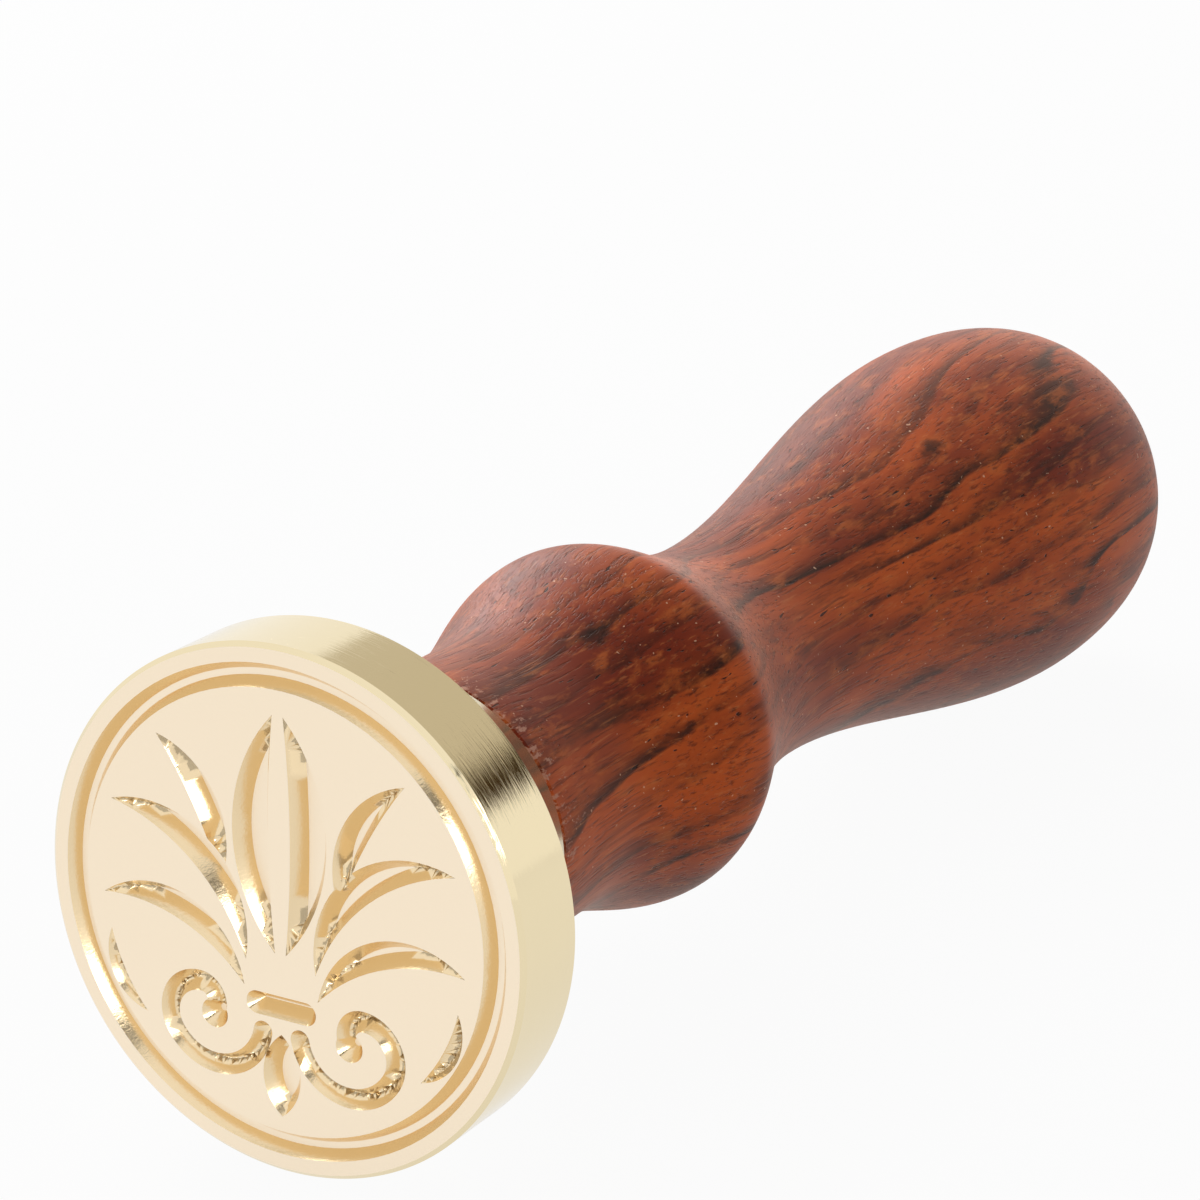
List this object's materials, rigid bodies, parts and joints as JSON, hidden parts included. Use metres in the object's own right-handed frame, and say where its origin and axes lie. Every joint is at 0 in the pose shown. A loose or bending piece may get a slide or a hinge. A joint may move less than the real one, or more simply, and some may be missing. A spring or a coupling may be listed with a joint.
{
  "type": "wax seal stamp",
  "caption": "Wax seal stamp: an engraved round brass head with a plain neck, screwed into a turned rosewood handle with a bulb, a slim throat and a long knob.",
  "frame": {"origin": "the middle of the engraved face, on the stamp's turning axis", "axes": "+Z along the turning axis, from the engraved face to the knob, so the stamp stands on its face; -Y is the ornament's up, as seen by an eye that looks at the face"},
  "size_m": [0.025, 0.025, 0.0836],
  "materials": {
    "head_brass": "turned and polished, engraved on the face",
    "insert_brass": "as turned",
    "rosewood": "sanded and waxed to a soft shine"
  },
  "bodies": {
    "head": {"seal_head": "head_brass"},
    "insert": {"threaded_insert": "insert_brass"},
    "handle": {"handle": "rosewood"}
  },
  "joints": [
    {"name": "insert_rise", "type": "slide", "parent": "head", "child": "insert", "axis": [0, 0, 1], "range_m": [0, 0.0075]},
    {"name": "handle_turn", "type": "hinge", "parent": "insert", "child": "handle", "pos_m": [0, 0, 0], "axis": [0, 0, 1], "range_deg": [0, 2700]}
  ],
  "couplings": [
    {"joint": "insert_rise", "follows": "handle_turn", "m_per_rad": 0.00015915}
  ]
}
